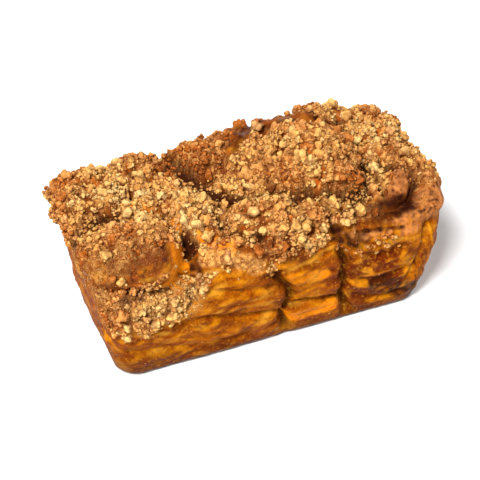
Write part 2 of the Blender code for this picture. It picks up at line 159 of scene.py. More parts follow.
# Unevenness of the crust: sizes of the noise along x, y, z, and its depths. Crumbs lie above the crumb line
WAVE_SIZE = 0.030
WAVE_DEPTH = 0.002
CRAG_SIZE = 0.009
CRAG_DEPTH = 0.0045
FOLD_SIZE = (0.034, 0.034, 0.008)
FOLD_DEPTH = 0.001
CRUMB_LINE = 0.072
CRUMB_LINE_RUN = 0.010

# What brings the middle of the finished loaf's box over the origin
CENTRE_SHIFT = (-0.0003, -0.0028, 0.0)

# The box that every surface point is reached from, and the steps of the lattice round it
CORE_LOW = (-0.086, -0.024, 0.026)
CORE_HIGH = (0.086, 0.024, 0.060)
REACH = 0.080
EDGE_INSET = (0.032, 0.030, 0.034)
STEPS = (246, 106, 90)
TRACE_ROUNDS = 90
TRACE_PACE = 0.6

# Crumble lumps fused to the crust: how many, out of how many tries, one of four on the front wall
LUMPS = 180
LUMP_TRIES = 14000
FRONT_EVERY = 4

# Where the crumble reaches down the front, as points (x, z)
LOW_CRUMBS = ((-0.122, 0.044), (-0.096, 0.036), (-0.070, 0.044), (-0.050, 0.056), (-0.036, 0.072))

# Bare spots on top: centre, radius, and how steeply they begin at their edge
BARE_SPOTS = (
    ((-0.074, -0.040, 0.086), 0.022),
    ((0.108, -0.044, 0.075), 0.026),
    ((0.094, -0.026, 0.086), 0.017),
    ((0.076, -0.047, 0.072), 0.013),
    ((-0.026, -0.046, 0.068), 0.013),
)
BARE_EDGE = 2.0

# The lumps' radius from the first to the last, the least distance between them, and the crease none lies in
LUMP_RADIUS = (0.005, 0.0028)
LUMP_GAP = 0.007
LUMP_CREASE = 0.003
LUMP_LIFT = 0.20
LUMP_STRETCH = (0.80, 1.20)
LUMP_SEED = 41

# How near the underside a point is laid flat on it
SURFACE_SNAP = 0.00008

# Level layers of dough in the walls, and the bowed ones of the right panel and the right end
LAYER_SIZE = (0.015, 0.015, 0.005)
FINE_LAYER_SIZE = (0.0065, 0.0065, 0.0023)
LAYER_SAG = 0.0075
LAYER_SAG_SIZE = 0.026
BOWL_MIDDLE = (0.070, 0.068)
BOWL_LEFT = (0.042, 0.048)
BOWL_RIGHT = (0.104, 0.098)
BOW_MIDDLE = (0.000, 0.002)
BOW_TURN = 0.040
BOW_RUN = (END_WALL + 0.006, END_WALL + 0.012)
LAYER_DEPTH = 0.0011
FINE_LAYER_DEPTH = 0.0006

# The bed of crumble between the lumps: piled patches, domed bumps in two sizes and rough grain
PILE_SIZE = 0.009
PILE_EDGE_SIZE = 0.0045
PILE_DEPTH = 0.0026
PILE_SHARE = 0.78
PILE_CONTRAST = 2.0
PILE_EDGE_SHARE = 0.6
TOASTED_THINS = 0.45
BED_SIZE = 0.005
BED_DEPTH = 0.0024
FINE_BED_SIZE = 0.0029
FINE_BED_DEPTH = 0.0012
BED_GRAIN_SIZE = 0.0024
BED_GRAIN_DEPTH = 0.0004
BED_LEVEL = 0.78
PILE_LEVEL = 0.6

# Lower edge of the crumble round the loaf, and how ragged it is
FRONT_CRUMB_EDGE = ((-0.122, 0.058), (-0.111, 0.044), (-0.092, 0.039), (-0.066, 0.045), (-0.048, 0.056),
                    (-0.038, 0.068), (-0.006, 0.060), (0.020, 0.066), (0.043, 0.079), (0.075, 0.075),
                    (0.112, 0.074))
OTHER_CRUMB_EDGE = 0.079
CRUMB_EDGE_RAG = 0.010
CRUMB_EDGE_RAG_SIZE = 0.014
CRUMB_EDGE_RUN = 0.007
FRONT_RUN = (-0.030, -0.042)
BARE_STEEPNESS = 1.5

# Where the crust shows bare: points x, y, z of a path, then how far round it
BARE_CRUST = (
    (((-0.114, -0.033, 0.085), (-0.100, -0.042, 0.086), (-0.086, -0.045, 0.087),
      (-0.068, -0.041, 0.088)), 0.013),
    (((-0.062, -0.036, 0.084), (-0.060, -0.041, 0.074), (-0.070, -0.045, 0.072)), 0.012),
    (((0.098, -0.022, 0.091), (0.090, -0.032, 0.085)), 0.010),
    (((0.076, -0.036, 0.077), (0.084, -0.042, 0.076), (0.094, -0.042, 0.080)), 0.008),
    (((0.117, -0.038, 0.083), (0.108, -0.045, 0.081), (0.096, -0.048, 0.077),
      (0.080, -0.049, 0.072)), 0.0105),
    (((0.040, -0.047, 0.080), (0.052, -0.048, 0.073), (0.066, -0.049, 0.069),
      (0.080, -0.049, 0.070)), 0.009),
    (((-0.002, 0.028, 0.103), (0.008, 0.034, 0.107), (0.022, 0.038, 0.110), (0.040, 0.034, 0.113),
      (0.056, 0.026, 0.112)), 0.007),
    (((-0.002, 0.042, 0.100), (0.026, 0.050, 0.104), (0.052, 0.048, 0.107)), 0.009),
    (((-0.047, -0.041, 0.078), (-0.036, -0.044, 0.079), (-0.026, -0.047, 0.077), (-0.014, -0.050, 0.069)),
     0.011),
)
RAG = 0.40
RAG_SIZE = 0.008

# Deeply browned crust that the crumble covers thinly
TOASTED = (
    (((-0.020, -0.018, 0.094), (-0.012, -0.026, 0.097), (-0.001, -0.028, 0.098)), 0.010),
    (((-0.010, -0.048, 0.084), (0.004, -0.049, 0.076), (0.016, -0.049, 0.070)), 0.009),
    (((-0.044, 0.036, 0.100), (-0.029, 0.029, 0.104), (-0.014, 0.024, 0.100)), 0.014),
    (((0.048, -0.022, 0.096), (0.062, -0.022, 0.094), (0.072, -0.012, 0.094)), 0.010),
    (((0.000, 0.036, 0.106), (0.026, 0.044, 0.109), (0.052, 0.040, 0.111)), 0.009),
    (((0.104, 0.034, 0.099), (0.106, 0.048, 0.096)), 0.009),
    (((0.099, -0.020, 0.092), (0.090, -0.032, 0.085)), 0.011),
    (((0.070, -0.038, 0.079), (0.082, -0.040, 0.081), (0.094, -0.041, 0.083)), 0.012),
    (((-0.102, -0.040, 0.090), (-0.086, -0.041, 0.094), (-0.074, -0.040, 0.094)), 0.008),
    (((-0.118, -0.040, 0.080), (-0.108, -0.044, 0.077), (-0.096, -0.046, 0.075)), 0.004),
)

# Painted shade round the knob, below it and on the left end: the crumble there is finer, and it and its bed
# are painted browner
SHADED = (
    (((-0.114, -0.034, 0.086), (-0.098, -0.034, 0.094), (-0.080, -0.034, 0.096)), 0.020),
    (((-0.111, -0.042, 0.076), (-0.104, -0.045, 0.066)), 0.012),
    (((-0.122, -0.020, 0.070), (-0.122, 0.020, 0.070)), 0.014),
)

# Places stained by the dark filling
FILLING = (
    (((0.074, -0.036, 0.079), (0.084, -0.040, 0.080), (0.092, -0.040, 0.082)), 0.0085),
    (((0.092, -0.036, 0.083), (0.086, -0.040, 0.078)), 0.0048),
    (((0.046, -0.047, 0.076), (0.060, -0.046, 0.0735), (0.074, -0.047, 0.0715),
      (0.086, -0.049, 0.071)), 0.0022),
    (((0.104, -0.016, 0.089), (0.106, -0.024, 0.088), (0.102, -0.034, 0.084),
      (0.094, -0.041, 0.081)), 0.0034),
    (((0.040, -0.048, 0.080), (0.045, -0.049, 0.074), (0.056, -0.049, 0.069)), 0.0075),
    (((-0.051, -0.022, 0.086), (-0.051, -0.034, 0.080), (-0.052, -0.042, 0.072)), 0.0055),
    (((-0.100, -0.047, 0.070), (-0.090, -0.048, 0.070)), 0.0055),
    (((-0.070, 0.034, 0.102), (-0.069, 0.028, 0.101)), 0.0035),
    (((-0.036, 0.028, 0.098), (-0.024, 0.012, 0.092), (-0.014, 0.002, 0.090),
      (0.002, -0.006, 0.092)), 0.0046),
    (((-0.003, 0.024, 0.102), (0.005, 0.030, 0.106), (0.014, 0.034, 0.108), (0.026, 0.034, 0.111),
      (0.041, 0.029, 0.113), (0.056, 0.020, 0.111)), 0.0034),
    (((0.004, 0.036, 0.107), (0.016, 0.041, 0.108), (0.036, 0.041, 0.112), (0.052, 0.037, 0.113)), 0.0026),
    (((0.056, 0.030, 0.113), (0.066, 0.024, 0.109), (0.076, 0.017, 0.101), (0.081, 0.004, 0.095)), 0.0046),
    (((0.105, -0.006, 0.094), (0.107, -0.012, 0.094)), 0.003),
    (((0.074, -0.048, 0.026), (0.092, -0.047, 0.016), (0.104, -0.044, 0.010)), 0.011),
)

# Bright orange dough, glossy with syrup
GLAZED = (
    (((-0.062, -0.034, 0.084), (-0.060, -0.038, 0.078), (-0.064, -0.043, 0.073)), 0.012),
    (((-0.072, 0.010, 0.091), (-0.064, 0.004, 0.092)), 0.007),
    (((-0.058, -0.008, 0.093), (-0.054, -0.013, 0.091)), 0.005),
    (((-0.040, -0.023, 0.086), (-0.036, -0.031, 0.083), (-0.029, -0.041, 0.083)), 0.006),
    (((0.010, -0.048, 0.018), (0.040, -0.048, 0.018)), 0.006),
    (((0.008, -0.051, 0.054), (0.030, -0.051, 0.050)), 0.006),
)

# Pale sugary dust
DUSTED = (
    (((-0.114, -0.032, 0.088), (-0.104, -0.038, 0.090), (-0.094, -0.034, 0.098),
      (-0.080, -0.032, 0.100)), 0.011),
    (((-0.112, -0.040, 0.060), (-0.092, -0.049, 0.056), (-0.062, -0.050, 0.060)), 0.016),
    (((-0.120, -0.020, 0.064), (-0.116, 0.020, 0.064)), 0.018),
    (((-0.116, -0.034, 0.076), (-0.113, -0.038, 0.056)), 0.011),
    (((0.060, -0.034, 0.079), (0.072, -0.034, 0.078)), 0.007),
)

# Thick pale dust along the front lip
POWDERED = (
    (((-0.046, -0.040, 0.079), (-0.036, -0.043, 0.080), (-0.026, -0.047, 0.077), (-0.014, -0.050, 0.070)),
     0.0065),
)

# Patches of paler crumbs
PALE_PATCHES = (
    (((-0.084, 0.022, 0.097), (-0.062, 0.002, 0.092), (-0.036, -0.006, 0.090)), 0.024),
    (((0.082, 0.032, 0.103), (0.106, 0.018, 0.100)), 0.022),
    (((-0.094, -0.050, 0.062), (-0.070, -0.050, 0.060), (-0.054, -0.047, 0.062)), 0.014),
)

# Crumbs stuck to the walls
STRAY_CRUMBS = (
    (((0.043, -0.050, 0.068), (0.054, -0.050, 0.063), (0.068, -0.051, 0.062),
      (0.084, -0.051, 0.064)), 0.006),
    (((-0.050, -0.045, 0.068), (-0.060, -0.046, 0.068)), 0.010),
)

# Smooth buff crust of the strand that curls round the right front corner
BLUSHED = (
    (((0.118, -0.024, 0.085), (0.115, -0.038, 0.082), (0.104, -0.047, 0.080),
      (0.090, -0.049, 0.074)), 0.011),
    (((0.099, -0.018, 0.091), (0.093, -0.027, 0.087)), 0.009),
    (((0.044, -0.046, 0.077), (0.058, -0.048, 0.071), (0.076, -0.049, 0.070)), 0.0035),
)

# Brown flecks on bare crust
FLECKED = (
    (((0.100, -0.018, 0.090), (0.094, -0.028, 0.086), (0.088, -0.036, 0.082)), 0.011),
    (((0.118, -0.022, 0.086), (0.114, -0.040, 0.080), (0.100, -0.048, 0.078)), 0.012),
    (((-0.104, -0.042, 0.088), (-0.088, -0.044, 0.090), (-0.074, -0.042, 0.090)), 0.012),
    (((0.000, 0.040, 0.105), (0.026, 0.047, 0.108), (0.054, 0.042, 0.109)), 0.010),
)
FLECK_SIZE = 0.0026
FLECK_CONTRAST = 2.2

# Sizes of the patches of colour: broad, blotched, pale, stained by filling, and crumbs toasted together
PATCH_SIZE = (0.020, 0.020, 0.014)
BLOTCH_SIZE = (0.0075, 0.0075, 0.005)
PALE_SIZE = (0.017, 0.017, 0.006)
STAIN_SIZE = 0.004
TOAST_SIZE = 0.022

# Where colours change: the calmer left along x, the browned top and the walls' upper end by height, the
# painted shade and the sand in creases by how far they sank, and the scorched base, which reaches higher at
# the left
CALM_RUN = (-0.010, -0.070)
HIGH_RUN = (0.070, 0.082)
WALL_END_RUN = (0.074, 0.082)
CREVICE_SHADE_RUN = (0.002, 0.0065)
DEEP_SHADE_RUN = (0.001, 0.006)
SAND_SINK = 0.0026
BASE_START = 0.001
BASE_RISE = 0.016
LEFT_RISE = 0.020
LEFT_RUN = (-0.050, -0.080)

# Share of the browned top that shows specks of dust where it's bare
BARE_SPECKS = 0.32

# Colours as seen in soft daylight, red, green and blue from 0 to 255
GOLD = (170, 90, 4)
# Ridge gold is partly a painted highlight on the layers' ridges; the marble and panel browns are partly
# painted shade in their hollows
RIDGE_GOLD_AND_HIGHLIGHT = (208, 128, 10)
DEEP_ORANGE = (140, 60, 3)
PANEL_BROWN_AND_SHADE = (104, 36, 4)
MARBLE_BROWN_AND_SHADE = (82, 28, 4)
PALE_DOUGH = (216, 148, 40)
BASE_BROWN = (80, 32, 3)
BLUSH_TAN = (208, 130, 70)
# Toasted crust, and also the painted shade round the knob
TOAST_BROWN_AND_SHADE = (106, 46, 14)
FLECK_BROWN = (74, 26, 8)
FILLING_BROWN = (52, 20, 10)
GLAZE_ORANGE = (244, 138, 8)
BED_TAN = (240, 170, 88)
# Browned crust of the bed, and also its painted shade between the bumps
BED_BROWN_AND_SHADE = (106, 44, 4)
BARE_TOP = (96, 36, 5)
BARE_ORANGE = (176, 82, 10)
# Painted shade down in the creases and in the gaps between the bed's small domes
CREVICE_SHADE = (46, 16, 4)
DUST_TAN = (192, 138, 74)
CRUMB_TAN = (242, 174, 94)
CRUMB_PALE = (255, 203, 134)
# Toasted crumbs, and also the painted shade on the crumbs round the knob
CRUMB_TOASTED_AND_SHADE = (172, 92, 32)
# Burnt crumbs and filling stains, and also the painted shade at the edges of the bed's small cells
CRUMB_DARK_AND_SHADE = (86, 34, 8)
# Painted shade of the crumbs, low down and in their hollows
CRUMB_SHADE = (104, 42, 4)

# Where the right panel's layers are marbled with filling, and the share elsewhere
MARBLE_RIGHT = ((0.072, -0.048, 0.034), 0.036)
MARBLE_SHARE = 0.42

# Fine noise in the shading: scale for each metre, detail, roughness and distortion
STREAK_STRETCH = (220.0, 220.0, 520.0)
STREAK_NOISE = (1.0, 7.0, 0.72, 0.7)
PORE_NOISE = (430.0, 4.0, 0.7, 0.0)
BED_NOISE = (1500.0, 2.0, 0.7, 0.0)
CRUMB_NOISE = (900.0, 3.0, 0.7, 0.0)
BED_CELLS = 820.0
CRUMB_CELLS = 1050.0

# Fine marks: the noise they follow, where they begin and where they are full, their most, and their colour
WALL_MARKS = (
    ("streaks", 0.48, 0.30, 0.75, MARBLE_BROWN_AND_SHADE),
    ("streaks", 0.54, 0.72, 0.65, RIDGE_GOLD_AND_HIGHLIGHT),
    ("pores", 0.46, 0.30, 0.65, MARBLE_BROWN_AND_SHADE),
    ("pores", 0.55, 0.70, 0.55, PALE_DOUGH),
)
# The cells mark is painted shade in the gaps between the bed's small bumps; the sand mark is pale grain
BED_MARKS = (
    ("cells", 0.40, 0.80, 0.45, CRUMB_DARK_AND_SHADE),
    ("sand", 0.52, 0.70, 0.55, CRUMB_PALE),
)
CRUMB_MARKS = (
    ("sand", 0.48, 0.30, 0.65, CRUMB_TOASTED_AND_SHADE),
    ("sand", 0.55, 0.72, 0.60, CRUMB_PALE),
)
CRUST_SHEEN = 0.07
CRUST_SHEEN_TINT = (1.0, 0.60, 0.24, 1.0)
CRUMBLE_SHEEN = 0.04

# Smaller lumps of the looks: how many, out of how many tries each, radius, distance, and lift in radii
MORE_LUMPS = 430
TRIES_PER_LUMP = 8
MORE_LUMP_RADIUS = (0.0028, 0.0018)
MORE_LUMP_GAP = 0.0034
MORE_LUMP_LIFT = 0.25

# Loose crumbs: name, how many, radius from largest to smallest, and how many more lie on dusted crust
CRUMB_KINDS = (
    ("crumble_crumbs", 2450, (0.0026, 0.0013), 0.02),
    ("crumble_bits", 2450, (0.0017, 0.0009), 0.12),
)
CRUMB_CURVE = 0.6
GRAINS = 9400
GRAIN_RADIUS = (0.0009, 0.00036)
GRAIN_CURVE = 0.7
GRAIN_LIFT = 0.4
LOW_GRAINS = 0.02
LOW_GRAIN_RISE = 0.02

# Where crumbs lie: less on filling, and out of creases that sank further than this
FILLING_CLEARS = 0.80
OPEN_SINK = 0.003

# Shapes of the crumbs: how fine their mesh is and how many balls stick together, how many shapes there are,
# and the balls' sizes and offsets in radii of the crumb
LUMP_MESH = (3, 14)
CRUMB_MESH = (2, 5)
GRAIN_MESH = (1, 3)
SHAPES = 14
CORE_BALL = 0.58
BALL_OFFSET = (0.42, 0.70)
BALL_RADIUS = (0.26, 0.46)

# Painted light and shade on the crumbs: lighter where they bulge and the higher they reach, darker towards
# their shade colour elsewhere, over a lowest share. A few are burnt
CRUMB_LIT = (0.14, 0.52, 0.72)
CRUMB_GAIN = 1.18
CRUMB_BRIGHTEST = 0.95
CRUMB_LIFT = (-0.10, 0.55)
BURNT_ABOVE = 0.965
CRUMB_SEED = 77

# Camera: angles in degrees, distance and target in metres, focal length in pixels of a 480-pixel frame
CAMERA_AZIMUTH = -22.0
CAMERA_ELEVATION = 40.0
CAMERA_DISTANCE = 0.929
CAMERA_TARGET = (-0.0068, -0.0028, 0.051)
FOCAL_PIXELS = 1425.0
FRAME_PIXELS = 480.0
SENSOR_MM = 36.0

# Lights: azimuth and elevation in degrees, distance and side of the square in metres, power in watts
LIGHTS = {
    "key": (-46.0, 54.0, 4.0, 1.0, 242.0),
    "fill": (-8.0, 32.0, 2.5, 1.5, 10.0),
    "back": (150.0, 24.0, 3.0, 1.5, 60.0),
}
AMBIENT = 0.11
FLOOR_SIDE = 6.0
FLOOR_DROP = 0.0003
FLOOR_GREY = (0.84, 0.84, 0.84, 1.0)
FLOOR_ROUGHNESS = 0.8
FLOOR_SHEEN = 0.1


def smooth_step(value):
    """0 below 0, 1 above 1 and an even rise between."""
    t = np.clip(value, 0.0, 1.0)
    return t * t * (3.0 - 2.0 * t)


def run_share(value, run):
    """0 at the run's start, 1 at its end and an even rise between."""
    return smooth_step((value - run[0]) / (run[1] - run[0]))


def blend_min(a, b, width):
    """The smaller distance, rounded where both are alike."""
    h = np.clip(0.5 + 0.5 * (b - a) / width, 0.0, 1.0)
    return b + (a - b) * h - width * h * (1.0 - h)


def round_overlap(a, b, radius):
    """The distance to what two shapes share, with a rounded edge between them."""
    corner = np.hypot(np.maximum(a + radius, 0.0), np.maximum(b + radius, 0.0))
    return np.minimum(np.maximum(a, b), -radius) + corner


def wall_distance(p):
    """Distance past the tin's wall, which the dough overhangs a little above the rim."""
    height = np.clip(p[:, 2], 0.0, RIM_HEIGHT)
    share = height / RIM_HEIGHT
    rise = smooth_step((p[:, 2] - RIM_HEIGHT + OVERHANG_RUN / 2) / OVERHANG_RUN)
    grow = 4 * WALL_BULGE * share * (1 - share) + OVERHANG * rise - CORNER_RADIUS
    swell = CORNER_SWELL * share * run_share(p[:, 1], CORNER_SWELL_RUN) * (p[:, 0] > 0)
    across_x = np.abs(p[:, 0]) - BOTTOM_LENGTH / 2 - END_TAPER * height - END_OVERHANG * rise - swell - grow
    across_y = np.abs(p[:, 1]) - BOTTOM_WIDTH / 2 - SIDE_TAPER * height - grow
    outside = np.hypot(np.maximum(across_x, 0.0), np.maximum(across_y, 0.0))
    return outside + np.minimum(np.maximum(across_x, across_y), 0.0) - CORNER_RADIUS


def mound_distance(p, centre, half_sizes):
    """Distance to an ellipsoid, close enough to walk by."""
    q = (p - centre) / half_sizes
    length = np.linalg.norm(q, axis=1)
    slope = np.linalg.norm(q / half_sizes, axis=1)
    return length * (length - 1.0) / np.maximum(slope, 1e-9)


def path_distance(p, path):
    """Distance from each point to a path of straight runs, in a plane or in space."""
    nearest = np.full(len(p), np.inf)
    for start, end in zip(path, path[1:]):
        a = np.array(start)
        run = np.array(end) - a
        along = np.clip((p - a) @ run / (run @ run), 0.0, 1.0)
        nearest = np.minimum(nearest, np.linalg.norm(p - a - along[:, None] * run, axis=1))
    return nearest


def loaf_distance(p):
    """Distance to the loaf without its creases: strands that rose together in the tin."""
    dough = p[:, 2] - DOUGH_TOP - DOUGH_TILT * p[:, 1] + FRONT_SLUMP * run_share(p[:, 1], FRONT_SLUMP_RUN)
    for centre, half_sizes in MOUNDS.values():
        dough = blend_min(dough, mound_distance(p, np.array(centre), np.array(half_sizes)), CREASE_BLEND)
    for path, radius in STRANDS.values():
        dough = blend_min(dough, path_distance(p, path) - radius, CREASE_BLEND)
    dough = round_overlap(dough, wall_distance(p), SHOULDER_RADIUS)
    return round_overlap(dough, -p[:, 2], BOTTOM_EDGE_RADIUS)


def bareness(p):
    """1 in the middle of the bare spots, and 0 outside them."""
    share = np.zeros(len(p))
    for centre, radius in BARE_SPOTS:
        inside = 1.0 - np.linalg.norm(p - centre, axis=1) / radius
        share = np.maximum(share, smooth_step(BARE_EDGE * inside))
    return share


def crease_depth(p, creases):
    """How deep the creases are sunk, deepest along their middle lines."""
    depth = np.zeros(len(p))
    for path, half_width, deepest in creases.values():
        depth = np.maximum(depth, deepest * np.exp(-((path_distance(p, path) / half_width) ** 2)))
    return depth


def waves(p, size):
    """Smooth noise of that size, from -1 to 1 and the same each run."""
    return np.array([noise.noise(Vector(q)) for q in p / size])


def trace(outer):
    """Walks from each outer point towards the core until it meets the loaf, then sinks the creases.

    Gives the places, the way out at each, the places before sinking, and how far each sank."""
    start = np.clip(outer, CORE_LOW, CORE_HIGH)
    reach = np.linalg.norm(outer - start, axis=1)
    heading = (outer - start) / reach[:, None]
    for _ in range(TRACE_ROUNDS):
        reach = np.maximum(reach - TRACE_PACE * loaf_distance(start + heading * reach[:, None]), 0.0)
    base = start + heading * reach[:, None]
    p = base
    upward = smooth_step((p[:, 2] - CRUMB_LINE) / CRUMB_LINE_RUN)
    raised = smooth_step(p[:, 2] / CRUMB_LINE_RUN)
    sink = upward * crease_depth(p[:, :2], TOP_CREASES)
    for creases, across, along, side, begin in WALLS:
        on_wall = smooth_step((side * p[:, across] - begin) / WALL_RUN) * (1.0 - upward) * raised
        sink += on_wall * crease_depth(p[:, [along, 2]], creases)
    crags = CRAG_DEPTH * (1.0 - bareness(p)) * waves(p, CRAG_SIZE)
    swell = upward * (WAVE_DEPTH * waves(p, WAVE_SIZE) + crags)
    swell += (1.0 - upward) * raised * FOLD_DEPTH * waves(p, FOLD_SIZE)
    p = p + heading * (swell - sink)[:, None]
    p[np.abs(p[:, 2]) < SURFACE_SNAP, 2] = 0.0
    return p + CENTRE_SHIFT, heading, base, sink


def outer_point(lattice):
    """Places on the box round the loaf for lattice fractions from 0 to 1."""
    placed = np.empty_like(lattice)
    for axis in range(3):
        low, high, inset = CORE_LOW[axis], CORE_HIGH[axis], EDGE_INSET[axis]
        share = inset / (high - low + 2 * inset)
        stops = (low - REACH, low, high, high + REACH)
        placed[:, axis] = np.interp(lattice[:, axis], (0.0, share, 1.0 - share, 1.0), stops)
    return placed


def box_lattice(steps):
    """Lattice points of a box's surface, and its quads with their faces out."""
    index = {}
    quads = []
    for axis in range(3):
        u, v = (axis + 1) % 3, (axis + 2) % 3
        for side in (0, steps[axis]):
            for a in range(steps[u]):
                for b in range(steps[v]):
                    quad = []
                    for da, db in ((0, 0), (1, 0), (1, 1), (0, 1)):
                        place = [side, side, side]
                        place[u] = a + da
                        place[v] = b + db
                        quad.append(index.setdefault(tuple(place), len(index)))
                    quads.append(quad if side else quad[::-1])
    return np.array(list(index), float) / steps, np.array(quads)


def crumble_lies(places):
    """Where the crumble covers the crust: the top but for bare spots, and low on the left of the front."""
    p = places - CENTRE_SHIFT
    line = CRUMB_LINE + CRUMB_LINE_RUN / 2
    low = np.interp(p[:, 0], *zip(*LOW_CRUMBS))
    covered = p[:, 2] > np.where(p[:, 1] < 0, np.minimum(low, line), line)
    covered &= crease_depth(p[:, :2], TOP_CREASES) < LUMP_CREASE
    return covered & (bareness(p) == 0.0)


def crumb_places():
    """Even places for the crumble lumps, largest first, with the way out and the radius of each."""
    rng = np.random.default_rng(LUMP_SEED)
    tries = rng.random((LUMP_TRIES, 3))
    on_front = np.arange(LUMP_TRIES) % FRONT_EVERY == 0
    tries[on_front, 1] = 0.0
    tries[~on_front, 2] = 1.0
    places, heading = trace(outer_point(tries))[:2]
    kept = []
    for i in np.flatnonzero(crumble_lies(places)):
        if len(kept) == LUMPS:
            break
        if not kept or np.linalg.norm(places[kept] - places[i], axis=1).min() > LUMP_GAP:
            kept.append(i)
    radii = np.linspace(*LUMP_RADIUS, len(kept))
    return places[kept] + heading[kept] * (LUMP_LIFT * radii)[:, None], heading[kept], radii


def linear(colour):
    """The linear values of a colour given from 0 to 255."""
    share = np.array(colour) / 255.0
    return np.where(share <= 0.04045, share / 12.92, ((share + 0.055) / 1.055) ** 2.4)


def domes(p, size):
    """Rounded bumps of that size, 1 on top and about 0 in the gaps."""
    reach = np.array([noise.noise(Vector(q), noise_basis="VORONOI_F1") for q in p / size])
    return 1.0 - (0.5 * (reach + 1.0)) ** 2


def spot_share(p, spots, steepness=2.0):
    """1 along ragged spots, falling to 0 at their rims."""
    rag = 1.0 + RAG * waves(p, RAG_SIZE)
    share = np.zeros(len(p))
    for path, radius in spots:
        away = path_distance(p, path) / (radius * rag)
        share = np.maximum(share, smooth_step(steepness * (1.0 - away)))
    return share


def crumble_cover(p):
    """Share of the crust that crumble hides: the top down to a ragged edge, but for the bare spots."""
    front_edge = np.interp(p[:, 0], *zip(*FRONT_CRUMB_EDGE))
    edge = OTHER_CRUMB_EDGE + run_share(p[:, 1], FRONT_RUN) * (front_edge - OTHER_CRUMB_EDGE)
    above = p[:, 2] - edge + CRUMB_EDGE_RAG * waves(p, CRUMB_EDGE_RAG_SIZE)
    return smooth_step(above / CRUMB_EDGE_RUN) * (1.0 - spot_share(p, BARE_CRUST, BARE_STEEPNESS))


def flow(p):
    """Place measured along the dough's layers and, last, across them."""
    place = p + 0.0
    place[:, 2] += LAYER_SAG * waves(p, LAYER_SAG_SIZE)
    in_bowl = run_share(p[:, 0], BOWL_LEFT) * run_share(p[:, 0], BOWL_RIGHT) * (p[:, 1] < 0)
    x, z = p[:, 0] - BOWL_MIDDLE[0], p[:, 2] - BOWL_MIDDLE[1]
    bowl = np.stack([BOW_TURN * np.arctan2(x, -z), p[:, 1], np.hypot(x, z)], axis=1)
    on_end = run_share(p[:, 0], BOW_RUN)
    y, z = p[:, 1] - BOW_MIDDLE[0], p[:, 2] - BOW_MIDDLE[1]
    bow = np.stack([p[:, 0], BOW_TURN * np.arctan2(y, z), np.hypot(y, z)], axis=1)
    place += in_bowl[:, None] * (bowl - place)
    return place + on_end[:, None] * (bow - place)


def crust_fields(p, sunk):
    """What the relief and the colours follow, at each place and where its crease took it."""
    place = flow(p)
    pile = waves(p, PILE_SIZE) + PILE_EDGE_SHARE * waves(p, PILE_EDGE_SIZE)
    pile = smooth_step(PILE_SHARE + PILE_CONTRAST * pile - TOASTED_THINS * spot_share(p, TOASTED))
    return {
        "place": place,
        "cover": crumble_cover(p),
        "pile": pile,
        "fine_dome": domes(sunk, FINE_BED_SIZE),
        "layer": waves(place, LAYER_SIZE),
        "fine_layer": waves(place + 0.5, FINE_LAYER_SIZE),
        "dome": domes(sunk, BED_SIZE),
        "grain": waves(sunk, BED_GRAIN_SIZE),
        "raised": smooth_step(p[:, 2] / CRUMB_LINE_RUN),
    }


def crust_relief(fields):
    """Height of the fine relief: crumble bed where it covers, layers of dough where it doesn't."""
    pile = fields["pile"]
    bumps = BED_DEPTH * (fields["dome"] - BED_LEVEL) + FINE_BED_DEPTH * (fields["fine_dome"] - BED_LEVEL)
    bed = PILE_DEPTH * (pile - PILE_LEVEL) + (0.40 + 0.60 * pile) * bumps + BED_GRAIN_DEPTH * fields["grain"]
    layers = LAYER_DEPTH * fields["layer"] + FINE_LAYER_DEPTH * fields["fine_layer"]
    cover = fields["cover"]
    return (cover * bed + (1.0 - cover) * layers) * fields["raised"]


def mix(a, b, share):
    """From colour or colours a to colour or colours b by the share at each place."""
    return a + (b - a) * np.clip(share, 0.0, 1.0)[:, None]


def paint(tint, *coats):
    """Colours with coats over them, each a named colour and its share at each place."""
    for colour, share in coats:
        tint = mix(tint, linear(colour), share)
    return tint


def dough_colours(p, fields, sink, patch):
    """Baked dough: gold ridges, lighter partly as a painted highlight, orange hollows darkened with marbled
    filling and partly painted shade, and a scorched base.
    """
    layer, fine = fields["layer"], fields["fine_layer"]
    blotch = waves(p, BLOTCH_SIZE)
    calm = run_share(p[:, 0], CALM_RUN)
    centre, radius = MARBLE_RIGHT
    panel = smooth_step(1.8 * (1.0 - np.linalg.norm(p - centre, axis=1) / radius))
    marble = MARBLE_SHARE + (1.0 - MARBLE_SHARE) * panel
    # Ridges of the layers painted lighter, partly a painted highlight; hollows painted darker, partly
    # filling and partly painted shade
    ridges = (1.6 - 0.9 * calm) * (layer - 0.02) + (1.2 + 0.8 * calm) * blotch - 0.1
    hollows = (3.0 - 1.6 * calm) * (-layer - 0.02) + 1.6 * np.maximum(-fine, 0.0)
    rise = BASE_RISE + LEFT_RISE * run_share(p[:, 0], LEFT_RUN)
    return paint(
        np.tile(linear(GOLD), (len(p), 1)),
        (DEEP_ORANGE, 0.55 + 1.1 * patch),
        (RIDGE_GOLD_AND_HIGHLIGHT, ridges),
        (DEEP_ORANGE, calm * (-1.8 * blotch - 0.1)),
        (MARBLE_BROWN_AND_SHADE, marble * hollows),
        (PALE_DOUGH, 2.4 * (waves(p, PALE_SIZE) - 0.26)),
        (BASE_BROWN, 0.80 * (1.0 - smooth_step((p[:, 2] - BASE_START) / rise))),
        # Right panel: darker in the hollows and lighter on the ridges, partly filling marbling and partly
        # painted shade and highlight
        (PANEL_BROWN_AND_SHADE, panel * smooth_step(0.78 - 3.6 * layer - 1.6 * fine)),
        (RIDGE_GOLD_AND_HIGHLIGHT, 0.5 * panel * smooth_step(3.6 * (layer - 0.12) + 1.8 * fine)),
        # Painted shade in the creases, by how far they sank
        (CREVICE_SHADE, 0.85 * run_share(sink, CREVICE_SHADE_RUN)),
    )


